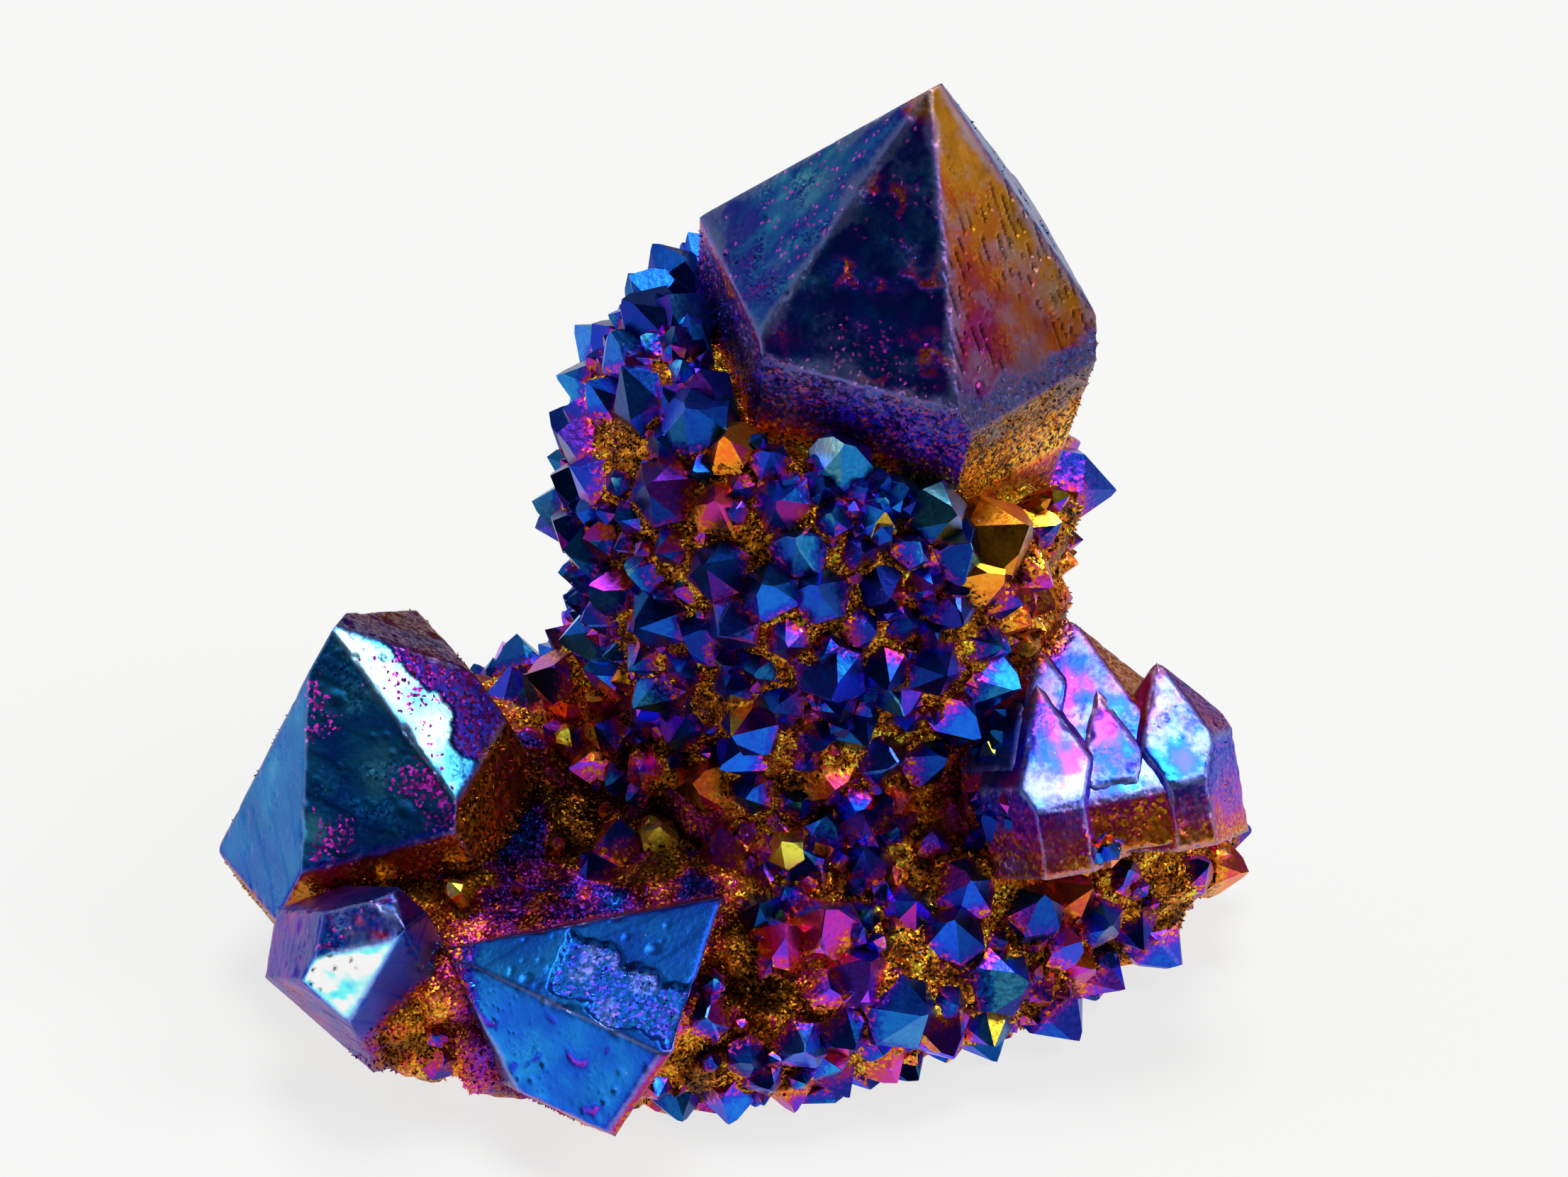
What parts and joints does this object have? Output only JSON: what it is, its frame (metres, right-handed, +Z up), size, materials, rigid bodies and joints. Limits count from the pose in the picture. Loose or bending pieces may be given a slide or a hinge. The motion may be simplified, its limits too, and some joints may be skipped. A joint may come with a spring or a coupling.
{
  "type": "titanium aura quartz cluster",
  "caption": "Free-standing quartz cluster coated with an iridescent metal film: a stem crusted with small points under one large capping crystal, on a low base with more large crystals.",
  "frame": {"origin": "a point near the middle of the flat cut that the cluster rests on", "axes": "+Z up, square to the flat cut; +X towards the right end of the base, its longest way; +Y towards the back, away from the side with the front crystals"},
  "size_m": [0.0621, 0.0481, 0.0553],
  "materials": {
    "titanium_coated_quartz": "vapour-deposited titanium film over quartz, iridescent blue, violet and gold, glossy"
  },
  "bodies": {
    "root": {"quartz_cluster": "titanium_coated_quartz"}
  },
  "joints": []
}
